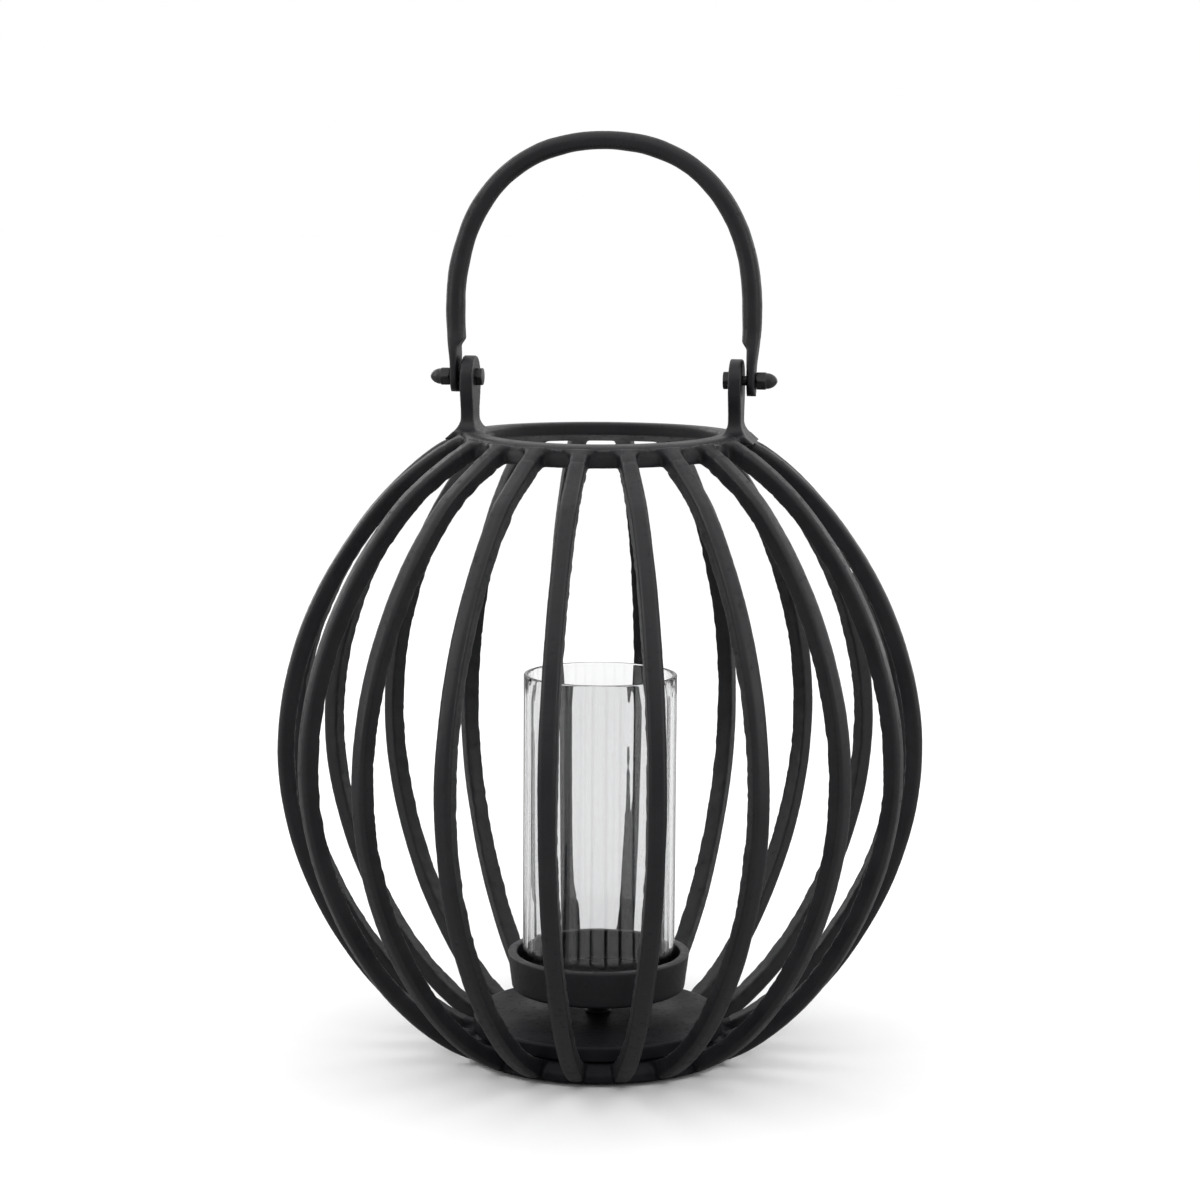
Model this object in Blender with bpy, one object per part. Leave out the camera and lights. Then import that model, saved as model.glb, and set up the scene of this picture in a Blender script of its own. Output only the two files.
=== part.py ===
"""Hurricane candle lantern: a round cage of cast ribs about a glass chimney, with a swinging bail handle.

The lantern stands on Z = 0 with its axis on Z. Its two lugs and the handle's bolts lie on X.
"""

import math

import bmesh
import bpy
from mathutils import Matrix, Vector

# All sizes are in metres.
FIT_GAP = 0.0003  # between two pieces that touch

# Cage: the ribs' outer line runs from the foot ring out to the widest height and in to the top ring.
RIB_COUNT = 20
CAGE_RADIUS = 0.155
WIDEST_HEIGHT = 0.150
CAGE_HEIGHT = 0.302
SHOULDER_ANGLE = math.radians(24)  # fall of the ribs where they leave the top ring
SHOULDER_DROP = 0.0006  # the ribs' outer line ends this far under the ring's top
SHOULDER_PULL = 0.26  # how far that end keeps its direction, as a share of the cage's radius
FOOT_ANGLE = math.radians(13)  # rise of the ribs where they leave the foot ring
FOOT_PULL = 0.27
WIDEST_PULL = 0.475  # how far the line stays upright at the widest height, as a share of each half

RIB_WIDTH = 0.0082
RIB_DEPTH = 0.0079
RIB_OUTER_EDGE = 0.0020
RIB_INNER_EDGE = 0.0012
RIB_STATIONS = 11  # sections along each half of a rib

# Top ring
RING_BORE = 0.111
RING_WIDTH = 0.0120
RING_HEIGHT = 0.0105
RING_SHOULDER = 0.0024
RING_EDGE = 0.0008

# Foot ring, and the plate that lies on it
FOOT_RADIUS = 0.060
FOOT_WIDTH = 0.0130
FOOT_HEIGHT = 0.0100
PLATE_OVERHANG = 0.0010
PLATE_THICKNESS = 0.0079
PLATE_LAND_INSET = 0.0030  # outside this land the rim is relieved, which leaves a dark line under it
PLATE_RELIEF = 0.0009
PLATE_EDGE = 0.0008

# Glass chimney
GLASS_RADIUS = 0.037
GLASS_HEIGHT = 0.1505
GLASS_WALL = 0.0023
GLASS_LIP = 0.0007

# Candle cup, and the stem under it
CUP_CLEARANCE = 0.0028  # round the glass at the rim
CUP_WALL = 0.0045
CUP_HEIGHT = 0.0178
CUP_FLOOR = 0.0037
CUP_DRAFT = 0.0022  # how much the cup's radius shrinks from its rim to its underside
CUP_EDGE = 0.0007
STEM_RADIUS = 0.0050
STEM_HEIGHT = 0.0118

# M5 fasteners
SCREW_RADIUS = 0.0025
HOLE_CLEARANCE = 0.0003
HEX_ACROSS_FLATS = 0.0080
HEX_CHAMFER = 0.0005
HEAD_HEIGHT = 0.0035
NUT_HEIGHT = 0.0040
ACORN_HEX_HEIGHT = 0.0045
ACORN_HEIGHT = 0.0098
ACORN_BORE_DEPTH = 0.0070
SINK_HEAD_RADIUS = 0.0046
SINK_HEAD_HEIGHT = 0.0024
WASHER_RADIUS = 0.0050
WASHER_THICKNESS = 0.0010
THREAD_SHOWN = 0.0008  # thread that stands out of the nut under the plate

# Lugs
LUG_THICKNESS = 0.0050
LUG_WIDTH = 0.0150
LUG_EYE_RADIUS = 0.0103
LUG_FLARE = 0.0040
LUG_INSET = 0.0010  # from the ring's outside to the lug's outer face
BOLT_HEIGHT = 0.0250  # bolt axis above the ring's top

# Handle
TAB_GAP = 0.0024  # bare bolt between a lug and the handle
TAB_THICKNESS = 0.0043
TAB_RADIUS = 0.0072
TAB_LENGTH = 0.0120  # flat above the bolt
TAB_SWELL = 0.0080  # over which the flat turns into the round arm
TAB_SQUARENESS = 4.0
ARM_RADIUS = 0.0047
CROWN_RADIUS = 0.0043
ARM_HEIGHT = 0.0318  # straight arm above the bolt
ARCH_HEIGHT = 0.0800  # from the straight arm to the crown's centre line
ARCH_ACROSS = 0.66  # how far the crown stays level, as a share of the half span
ARCH_UP = 0.575  # how far the arms stay upright, as a share of the arch's height
ARCH_STATIONS = 12

TURN_STEPS = 48
RING_STEPS = 2 * RIB_COUNT  # so that a flat facet faces each rib
HEX_POINTS = 24

# What follows from the sizes above.
ring_inner = RING_BORE / 2
ring_outer = ring_inner + RING_WIDTH
ring_bottom = CAGE_HEIGHT - RING_HEIGHT
bore_bottom = ring_bottom + (RING_WIDTH - RING_EDGE) * math.tan(SHOULDER_ANGLE)
plate_bottom = FOOT_HEIGHT + FIT_GAP
plate_top = plate_bottom + PLATE_THICKNESS
plate_radius = FOOT_RADIUS + PLATE_OVERHANG
stem_bottom = plate_top + FIT_GAP
stem_top = stem_bottom + STEM_HEIGHT
cup_bottom = stem_top + FIT_GAP
cup_floor_top = cup_bottom + CUP_FLOOR
cup_top = cup_bottom + CUP_HEIGHT
cup_inner = GLASS_RADIUS + CUP_CLEARANCE
glass_bottom = cup_floor_top + FIT_GAP
hole_radius = SCREW_RADIUS + HOLE_CLEARANCE
bolt_axis = CAGE_HEIGHT + BOLT_HEIGHT
lug_outside = ring_outer - LUG_INSET
lug_inside = lug_outside - LUG_THICKNESS
tab_inside = lug_outside + TAB_GAP
tab_outside = tab_inside + TAB_THICKNESS
arm_offset = (tab_inside + tab_outside) / 2


def clear_scene():
    for obj in list(bpy.data.objects):
        bpy.data.objects.remove(obj, do_unlink=True)


def make_material(name, colour, roughness, metallic=0.0, transmission=0.0):
    material = bpy.data.materials.new(name)
    material.use_nodes = True
    shader = material.node_tree.nodes["Principled BSDF"]
    shader.inputs["Base Color"].default_value = (*colour, 1.0)
    shader.inputs["Roughness"].default_value = roughness
    shader.inputs["Metallic"].default_value = metallic
    shader.inputs["Transmission Weight"].default_value = transmission
    return material


def add_object(name, shape, material, parent=None):
    """Turns a bmesh into a named object, shaded smooth with its sharp edges kept."""
    bmesh.ops.recalc_face_normals(shape, faces=shape.faces)
    mesh = bpy.data.meshes.new(name)
    shape.to_mesh(mesh)
    shape.free()
    mesh.shade_smooth()
    mesh.set_sharp_from_angle(angle=math.radians(35))
    mesh.materials.append(material)
    obj = bpy.data.objects.new(name, mesh)
    bpy.context.scene.collection.objects.link(obj)
    if parent is not None:
        obj.parent = parent
    return obj


def turned(outline, steps=TURN_STEPS):
    """Spins an outline of (radius, height) points about Z. A closed outline repeats its first point."""
    shape = bmesh.new()
    points = [shape.verts.new((radius, 0, height)) for radius, height in outline]
    edges = [shape.edges.new(pair) for pair in zip(points, points[1:])]
    bmesh.ops.spin(
        shape, geom=points + edges, axis=(0, 0, 1), cent=(0, 0, 0), angle=math.tau, steps=steps
    )
    bmesh.ops.remove_doubles(shape, verts=shape.verts, dist=1e-6)
    return shape


def turned_ring(outline):
    """Spins a ring whose flat facets lie at the outline's radii, with one facet square to each rib."""
    half_step = math.pi / RING_STEPS
    widened = [(radius / math.cos(half_step), height) for radius, height in outline]
    shape = turned(widened, RING_STEPS)
    turn = Matrix.Rotation(half_step, 3, "Z")
    bmesh.ops.rotate(shape, cent=(0, 0, 0), matrix=turn, verts=shape.verts)
    return shape


def skinned(rings, looped=False):
    """Joins rings of points into one skin. A ring of one point is a pole, and a wider end ring is capped."""
    shape = bmesh.new()
    loops = [[shape.verts.new(point) for point in ring] for ring in rings]
    following = loops[1:] + loops[:1] if looped else loops[1:]
    for near, far in zip(loops, following):
        count = max(len(near), len(far))
        for i in range(count):
            j = (i + 1) % count
            corners = [near[i % len(near)], near[j % len(near)], far[j % len(far)], far[i % len(far)]]
            shape.faces.new(list(dict.fromkeys(corners)))
    for end in (loops[0], loops[-1]):
        if len(end) > 1 and not looped:
            shape.faces.new(end)
    return shape


def circle_ring(radius, height):
    angles = [k * math.tau / HEX_POINTS for k in range(HEX_POINTS)]
    return [Vector((radius * math.cos(angle), radius * math.sin(angle), height)) for angle in angles]


def hexagon_ring(height):
    ring = []
    for k in range(HEX_POINTS):
        angle = k * math.tau / HEX_POINTS
        from_flat = (angle + math.pi / 6) % (math.pi / 3) - math.pi / 6
        radius = HEX_ACROSS_FLATS / 2 / math.cos(from_flat)
        ring.append(Vector((radius * math.cos(angle), radius * math.sin(angle), height)))
    return ring


def chamfered_hexagon(bottom, top):
    """The rings of a hexagon whose two ends are turned down to a circle."""
    turned_down = HEX_ACROSS_FLATS / 2 - HEX_CHAMFER / 4
    return [
        circle_ring(turned_down, bottom),
        hexagon_ring(bottom + HEX_CHAMFER),
        hexagon_ring(top - HEX_CHAMFER),
        circle_ring(turned_down, top),
    ]


def bezier(points, t):
    """A point of a cubic curve, and the curve's heading there."""
    a, b, c, d = points
    s = 1 - t
    place = s**3 * a + 3 * s * s * t * b + 3 * s * t * t * c + t**3 * d
    heading = s * s * (b - a) + 2 * s * t * (c - b) + t * t * (d - c)
    return place, heading.normalized()


def cage_line():
    """Places and headings along the ribs' outer line, as (radius, height), from the foot ring up."""
    foot = Vector((FOOT_RADIUS, 0))
    widest = Vector((CAGE_RADIUS, WIDEST_HEIGHT))
    shoulder = Vector((ring_outer, CAGE_HEIGHT - SHOULDER_DROP))
    foot_heading = Vector((math.cos(FOOT_ANGLE), math.sin(FOOT_ANGLE)))
    shoulder_heading = Vector((math.cos(SHOULDER_ANGLE), -math.sin(SHOULDER_ANGLE)))
    leave_foot = foot + FOOT_PULL * CAGE_RADIUS * foot_heading
    reach_shoulder = shoulder + SHOULDER_PULL * CAGE_RADIUS * shoulder_heading
    below = widest - Vector((0, WIDEST_PULL * WIDEST_HEIGHT))
    above = widest + Vector((0, WIDEST_PULL * (CAGE_HEIGHT - WIDEST_HEIGHT)))
    lower = (foot, leave_foot, below, widest)
    upper = (widest, above, reach_shoulder, shoulder)
    line = [bezier(lower, k / RIB_STATIONS) for k in range(RIB_STATIONS)]
    return line + [bezier(upper, k / RIB_STATIONS) for k in range(RIB_STATIONS + 1)]


def rib_depth(height):
    """A rib is slimmest at the widest height, and as deep as the ring that it meets at each end."""
    if height < WIDEST_HEIGHT:
        end_depth = FOOT_HEIGHT * math.cos(FOOT_ANGLE)
        share = (WIDEST_HEIGHT - height) / WIDEST_HEIGHT
    else:
        end_depth = (RING_HEIGHT - SHOULDER_DROP) * math.cos(SHOULDER_ANGLE)
        share = (height - WIDEST_HEIGHT) / (CAGE_HEIGHT - WIDEST_HEIGHT)
    return RIB_DEPTH + (end_depth - RIB_DEPTH) * share**3


def rib_section(depth):
    """Points of (across, inwards): wide round edges outside, tighter ones inside."""
    half = RIB_WIDTH / 2
    outer, inner = RIB_OUTER_EDGE, RIB_INNER_EDGE
    side = [(half - outer, 0), (half, outer), (half, depth - inner), (half - inner, depth)]
    return side + [(-across, inwards) for across, inwards in reversed(side)]


def rib_rings():
    """Sections of one rib along +X. Its end sections are slid along it onto the faces of the two rings."""
    line = cage_line()
    end_faces = {0: FOOT_RADIUS + FIT_GAP, len(line) - 1: ring_outer + FIT_GAP}
    rings = []
    for station, (place, heading) in enumerate(line):
        inward = Vector((-heading.y, heading.x))
        ring = []
        for across, inwards in rib_section(rib_depth(place.y)):
            point = place + inward * inwards
            if station in end_faces:
                point += heading * ((end_faces[station] - point.x) / heading.x)
            ring.append(Vector((point.x, across, point.y)))
        rings.append(ring)
    return rings


def make_ribs(material):
    """The ribs, evenly round the axis from the one under the right lug."""
    rings = rib_rings()
    for number in range(RIB_COUNT):
        turn = Matrix.Rotation(number * math.tau / RIB_COUNT, 4, "Z")
        shape = skinned([[turn @ point for point in ring] for ring in rings])
        add_object(f"rib_{number + 1:02d}", shape, material)


def make_top_ring(material):
    """The cast ring at the mouth of the cage. Its underside slopes up to the bore in line with the ribs."""
    outline = [
        (ring_inner + RING_EDGE, CAGE_HEIGHT),
        (ring_outer - RING_SHOULDER, CAGE_HEIGHT),
        (ring_outer, CAGE_HEIGHT - RING_SHOULDER),
        (ring_outer, ring_bottom + RING_EDGE),
        (ring_outer - RING_EDGE, ring_bottom),
        (ring_inner + RING_EDGE, bore_bottom),
        (ring_inner, bore_bottom + RING_EDGE),
        (ring_inner, CAGE_HEIGHT - RING_EDGE),
        (ring_inner + RING_EDGE, CAGE_HEIGHT),
    ]
    add_object("top_ring", turned_ring(outline), material)


def make_foot_ring(material):
    """The ring that the lantern stands on."""
    inner = FOOT_RADIUS - FOOT_WIDTH
    outline = [
        (inner, FOOT_HEIGHT),
        (FOOT_RADIUS, FOOT_HEIGHT),
        (FOOT_RADIUS, 0),
        (inner, 0),
        (inner, FOOT_HEIGHT),
    ]
    add_object("foot_ring", turned_ring(outline), material)


def make_base_plate(material):
    """A disc on the foot ring. Its rim is relieved outside the land that it rests on."""
    land = FOOT_RADIUS - PLATE_LAND_INSET
    outline = [
        (hole_radius, plate_top),
        (plate_radius - PLATE_EDGE, plate_top),
        (plate_radius, plate_top - PLATE_EDGE),
        (plate_radius, plate_bottom + PLATE_RELIEF),
        (land, plate_bottom + PLATE_RELIEF),
        (land, plate_bottom),
        (hole_radius, plate_bottom),
        (hole_radius, plate_top),
    ]
    add_object("base_plate", turned(outline), material)


def make_cup(material):
    """The candle cup, with a sunk hole in its floor for the screw, and the stem that holds it up."""
    inner_foot = cup_inner - CUP_DRAFT * (CUP_HEIGHT - CUP_FLOOR) / CUP_HEIGHT
    outer = cup_inner + CUP_WALL
    outline = [
        (outer - CUP_EDGE, cup_top),
        (outer, cup_top - CUP_EDGE),
        (outer - CUP_DRAFT, cup_bottom + CUP_EDGE),
        (outer - CUP_DRAFT - CUP_EDGE, cup_bottom),
        (hole_radius, cup_bottom),
        (hole_radius, cup_floor_top - SINK_HEAD_HEIGHT - HOLE_CLEARANCE),
        (SINK_HEAD_RADIUS + HOLE_CLEARANCE, cup_floor_top - HOLE_CLEARANCE),
        (SINK_HEAD_RADIUS + HOLE_CLEARANCE, cup_floor_top),
        (inner_foot, cup_floor_top),
        (cup_inner, cup_top - CUP_EDGE),
        (cup_inner + CUP_EDGE, cup_top),
        (outer - CUP_EDGE, cup_top),
    ]
    add_object("candle_cup", turned(outline), material)
    stem = [
        (hole_radius, stem_top),
        (STEM_RADIUS, stem_top),
        (STEM_RADIUS, stem_bottom),
        (hole_radius, stem_bottom),
        (hole_radius, stem_top),
    ]
    add_object("cup_stem", turned(stem, HEX_POINTS), material)


def make_cup_screw(material):
    """The sunk screw through the cup, stem and plate, with its washer and nut under the plate."""
    washer_top = plate_bottom - FIT_GAP
    nut_top = washer_top - WASHER_THICKNESS - FIT_GAP
    nut_bottom = nut_top - NUT_HEIGHT
    screw_end = nut_bottom - THREAD_SHOWN
    head_top = cup_floor_top - HOLE_CLEARANCE
    outline = [
        (0, head_top),
        (SINK_HEAD_RADIUS, head_top),
        (SCREW_RADIUS, head_top - SINK_HEAD_HEIGHT),
        (SCREW_RADIUS, screw_end),
        (0, screw_end),
    ]
    add_object("cup_screw", turned(outline, HEX_POINTS), material)
    washer = [
        (hole_radius, washer_top),
        (WASHER_RADIUS, washer_top),
        (WASHER_RADIUS, washer_top - WASHER_THICKNESS),
        (hole_radius, washer_top - WASHER_THICKNESS),
        (hole_radius, washer_top),
    ]
    add_object("cup_washer", turned(washer, HEX_POINTS), material)
    nut = chamfered_hexagon(nut_bottom, nut_top)
    nut += [circle_ring(hole_radius, nut_top), circle_ring(hole_radius, nut_bottom)]
    add_object("cup_nut", skinned(nut, looped=True), material)


def make_glass(material):
    """A plain tube of glass, open at both ends, with fire-polished lips."""
    inner = GLASS_RADIUS - GLASS_WALL
    top = glass_bottom + GLASS_HEIGHT
    outline = [
        (inner + GLASS_LIP, top),
        (GLASS_RADIUS - GLASS_LIP, top),
        (GLASS_RADIUS, top - GLASS_LIP),
        (GLASS_RADIUS, glass_bottom + GLASS_LIP),
        (GLASS_RADIUS - GLASS_LIP, glass_bottom),
        (inner + GLASS_LIP, glass_bottom),
        (inner, glass_bottom + GLASS_LIP),
        (inner, top - GLASS_LIP),
        (inner + GLASS_LIP, top),
    ]
    add_object("glass_chimney", turned(outline), material)


def cut_bolt_hole(obj, radius, near, far):
    """Cuts a round hole along X, on the bolts' axis, from near to far."""
    shape = bmesh.new()
    bmesh.ops.create_cone(
        shape, cap_ends=True, segments=HEX_POINTS, radius1=radius, radius2=radius, depth=far - near
    )
    cutter = add_object(f"{obj.name}_hole", shape, obj.data.materials[0])
    cutter.rotation_euler = (0, math.pi / 2, 0)
    cutter.location = ((near + far) / 2, 0, bolt_axis)
    cutter.hide_render = True
    cutter.display_type = "WIRE"
    cut = obj.modifiers.new("bolt hole", "BOOLEAN")
    cut.operation = "DIFFERENCE"
    cut.solver = "EXACT"
    cut.object = cutter


def lug_outline():
    """A lug seen along X, as (across, height): flared foot, straight stem and round eye."""
    foot = CAGE_HEIGHT + FIT_GAP
    half = LUG_WIDTH / 2
    side = []
    for k in range(4):
        angle = math.pi / 2 * k / 3
        side.append((half + LUG_FLARE * (1 - math.sin(angle)), foot + LUG_FLARE * (1 - math.cos(angle))))
    start = math.asin(min(1.0, half / LUG_EYE_RADIUS))
    for k in range(9):
        angle = start + (math.pi - start) * k / 8
        across, down = LUG_EYE_RADIUS * math.sin(angle), LUG_EYE_RADIUS * math.cos(angle)
        side.append((across, bolt_axis - down))
    return side + [(-across, height) for across, height in reversed(side[:-1])]


def make_lug(name, side, material):
    """An upright lug on the top ring. side is +1 on the right and -1 on the left."""
    outline = lug_outline()
    rings = [
        [Vector((side * distance, across, height)) for across, height in outline]
        for distance in (lug_inside, lug_outside)
    ]
    lug = add_object(name, skinned(rings), material)
    near, far = sorted((side * (lug_inside - LUG_THICKNESS), side * (lug_outside + LUG_THICKNESS)))
    cut_bolt_hole(lug, hole_radius, near, far)


def along_bolt(rings, side):
    """Turns rings stacked up Z so that they stack outwards along X, centred on the bolts' axis."""
    turn = Matrix.Translation((0, 0, bolt_axis)) @ Matrix.Rotation(side * math.pi / 2, 4, "Y")
    return [[turn @ point for point in ring] for ring in rings]


def make_bolt(name, side, material):
    """A hexagon bolt with its head inside the lug, through the lug and the handle, into the acorn nut."""
    under_head = lug_inside - FIT_GAP
    end = tab_outside + FIT_GAP + ACORN_BORE_DEPTH - FIT_GAP
    rings = chamfered_hexagon(under_head - HEAD_HEIGHT, under_head)
    rings += [circle_ring(SCREW_RADIUS, under_head), circle_ring(SCREW_RADIUS, end)]
    add_object(name, skinned(along_bolt(rings, side)), material)


def make_acorn_nut(name, side, material):
    """A domed nut with a blind bore, outside the handle."""
    base = tab_outside + FIT_GAP
    bore_end = base + ACORN_BORE_DEPTH
    dome_base = base + ACORN_HEX_HEIGHT
    dome_radius = HEX_ACROSS_FLATS / 2 - HEX_CHAMFER / 2
    dome_height = ACORN_HEIGHT - ACORN_HEX_HEIGHT
    rings = [
        [Vector((0, 0, bore_end + SCREW_RADIUS / 4))],
        circle_ring(hole_radius, bore_end),
        circle_ring(hole_radius, base),
    ]
    rings += chamfered_hexagon(base, dome_base)
    for k in range(6):
        angle = math.pi / 2 * k / 6
        rings.append(circle_ring(dome_radius * math.cos(angle), dome_base + dome_height * math.sin(angle)))
    rings.append([Vector((0, 0, base + ACORN_HEIGHT))])
    add_object(name, skinned(along_bolt(rings, side)), material)


def oval(half_thickness, half_width, squareness):
    """Points of (thickness, width) round a section, from an ellipse at 2 towards a rectangle above it."""
    points = []
    for k in range(16):
        angle = (k + 0.5) * math.tau / 16
        across, along = math.cos(angle), math.sin(angle)
        points.append(
            (
                math.copysign(half_thickness * abs(across) ** (2 / squareness), across),
                math.copysign(half_width * abs(along) ** (2 / squareness), along),
            )
        )
    return points


def arm_stations():
    """Half of the handle's centre line: place in (X, Z), heading, and section, from the tab to the crown."""
    half_tab = TAB_THICKNESS / 2
    up = Vector((0, 1))
    stations = []
    for degrees in (25, 45, 65, 90):
        angle = math.radians(degrees)
        place = Vector((arm_offset, bolt_axis - TAB_RADIUS * math.cos(angle)))
        stations.append((place, up, (half_tab, TAB_RADIUS * math.sin(angle), TAB_SQUARENESS)))
    place = Vector((arm_offset, bolt_axis + TAB_LENGTH))
    stations.append((place, up, (half_tab, TAB_RADIUS, TAB_SQUARENESS)))
    for k in range(1, 4):
        share = k / 3
        ease = share * share * (3 - 2 * share)
        place = Vector((arm_offset, bolt_axis + TAB_LENGTH + TAB_SWELL * share))
        section = (
            half_tab + (ARM_RADIUS - half_tab) * ease,
            TAB_RADIUS + (ARM_RADIUS - TAB_RADIUS) * ease,
            TAB_SQUARENESS + (2 - TAB_SQUARENESS) * ease,
        )
        stations.append((place, up, section))
    arch_foot = bolt_axis + ARM_HEIGHT
    crown = arch_foot + ARCH_HEIGHT
    curve = (
        Vector((arm_offset, arch_foot)),
        Vector((arm_offset, arch_foot + ARCH_UP * ARCH_HEIGHT)),
        Vector((arm_offset * ARCH_ACROSS, crown)),
        Vector((0, crown)),
    )
    for k in range(ARCH_STATIONS + 1):
        share = k / ARCH_STATIONS
        place, heading = bezier(curve, share)
        radius = ARM_RADIUS + (CROWN_RADIUS - ARM_RADIUS) * share
        stations.append((place, heading, (radius, radius, 2)))
    return stations


def make_handle(material, pivot):
    """The bail: a forged rod, flattened and drilled at both ends. It is parented to a pivot on its bolts."""
    half = arm_stations()
    mirrored = [
        (Vector((-place.x, place.y)), Vector((heading.x, -heading.y)), section)
        for place, heading, section in reversed(half[:-1])
    ]
    rings = []
    for place, heading, section in half + mirrored:
        outward = Vector((heading.y, -heading.x))
        rings.append(
            [
                Vector((place.x + outward.x * thick, wide, place.y + outward.y * thick - bolt_axis))
                for thick, wide in oval(*section)
            ]
        )
    handle = add_object("handle", skinned(rings), material, pivot)
    reach = tab_outside + TAB_THICKNESS
    cut_bolt_hole(handle, hole_radius, -reach, reach)


def main():
    clear_scene()
    casting = make_material("black_casting", (0.020, 0.020, 0.023), 0.55)
    hardware = make_material("black_hardware", (0.016, 0.016, 0.018), 0.45, metallic=0.4)
    plated = make_material("plated_screw", (0.42, 0.42, 0.44), 0.35, metallic=1.0)
    glass = make_material("clear_glass", (0.93, 0.96, 0.97), 0.03, transmission=1.0)

    make_foot_ring(casting)
    make_base_plate(casting)
    make_ribs(casting)
    make_top_ring(casting)
    make_cup(casting)
    make_cup_screw(plated)
    make_glass(glass)

    pivot = bpy.data.objects.new("handle_pivot", None)
    pivot.location = (0, 0, bolt_axis)
    bpy.context.scene.collection.objects.link(pivot)
    for side_name, side in (("right", 1), ("left", -1)):
        make_lug(f"lug_{side_name}", side, casting)
        make_bolt(f"bolt_{side_name}", side, hardware)
        make_acorn_nut(f"acorn_nut_{side_name}", side, hardware)
    make_handle(casting, pivot)


main()
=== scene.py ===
import math

import bmesh
import bpy
from mathutils import Matrix, Vector


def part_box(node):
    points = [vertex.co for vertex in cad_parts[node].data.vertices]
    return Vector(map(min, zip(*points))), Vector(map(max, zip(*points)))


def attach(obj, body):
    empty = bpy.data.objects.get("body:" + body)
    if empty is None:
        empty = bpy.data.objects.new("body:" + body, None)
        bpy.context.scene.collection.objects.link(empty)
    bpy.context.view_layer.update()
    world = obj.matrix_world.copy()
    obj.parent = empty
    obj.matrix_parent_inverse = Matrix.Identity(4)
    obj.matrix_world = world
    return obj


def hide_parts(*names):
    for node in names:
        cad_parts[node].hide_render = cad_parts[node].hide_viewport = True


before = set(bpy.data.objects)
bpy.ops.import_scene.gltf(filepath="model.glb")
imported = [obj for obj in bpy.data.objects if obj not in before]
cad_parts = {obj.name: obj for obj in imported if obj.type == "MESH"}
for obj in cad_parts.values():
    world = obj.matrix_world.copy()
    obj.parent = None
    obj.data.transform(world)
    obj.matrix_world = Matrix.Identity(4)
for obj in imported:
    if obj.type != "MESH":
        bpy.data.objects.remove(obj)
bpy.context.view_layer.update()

# ---------------------------------------------------------------------------------------------------
# Camera: a short telephoto lens on a tripod, level with the handle and to the right of the front
# rib, tilted down towards the cup.
CAMERA_DISTANCE = 1.332
CAMERA_TURN = math.radians(8.57)
CAMERA_HEIGHT = 0.4014
CAMERA_TILT = math.radians(-7.72)
CAMERA_ROLL = math.radians(0.4)
CAMERA_LENS = 84.0
CAMERA_SENSOR = 36.0
CAMERA_SHIFT = -0.0008

camera_data = bpy.data.cameras.new("camera")
camera_data.lens = CAMERA_LENS
camera_data.sensor_width = CAMERA_SENSOR
camera_data.shift_x = CAMERA_SHIFT
camera = bpy.data.objects.new("camera", camera_data)
camera.matrix_world = (
    Matrix.Translation(
        (CAMERA_DISTANCE * math.sin(CAMERA_TURN), -CAMERA_DISTANCE * math.cos(CAMERA_TURN), CAMERA_HEIGHT)
    )
    @ Matrix.Rotation(CAMERA_TURN, 4, "Z")
    @ Matrix.Rotation(math.pi / 2 + CAMERA_TILT, 4, "X")
    @ Matrix.Rotation(CAMERA_ROLL, 4, "Z")
)
bpy.context.scene.collection.objects.link(camera)
bpy.context.scene.camera = camera


# ---------------------------------------------------------------------------------------------------
# Studio: a matt white floor in a white room, bright behind the lantern and overhead and dim on the
# camera's side, with tall softboxes round the lantern and a broad soft light from above. The camera
# sees the floor and the room as plain white, also through the glass, and they light the lantern
# more dimly than that.
FLOOR_HALF = 60.0
FLOOR_SEEN = (0.93, 0.93, 0.93, 1.0)
FLOOR_BOUNCE = (0.42, 0.42, 0.42, 1.0)
FLOOR_ROUGHNESS = 0.9
ROOM_FRONT = 0.42
ROOM_BACK = 0.86
ROOM_CEILING = 0.88
ROOM_SPAN = (-0.5, 0.7)
ROOM_RISE = (0.15, 0.8)
SKYLIGHT_STRENGTH = 0.85
SKYLIGHT_SPREAD = math.radians(110)
# Each softbox: turn from the front, height above the floor, distance, width, height and power.
SOFTBOXES = (
    ("softbox_front_left", -64, 0.80, 1.5, 0.6, 1.2, 6.5),
    ("softbox_front_right", 68, 0.70, 1.6, 0.5, 1.2, 5.0),
    ("softbox_back_left", -130, 0.80, 1.5, 0.7, 1.3, 5.0),
    ("softbox_back_right", 134, 0.80, 1.5, 0.7, 1.3, 5.0),
)
LIGHTS_AIM = Vector((0, 0, 0.2))


def link(obj):
    bpy.context.scene.collection.objects.link(obj)
    return obj


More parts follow.
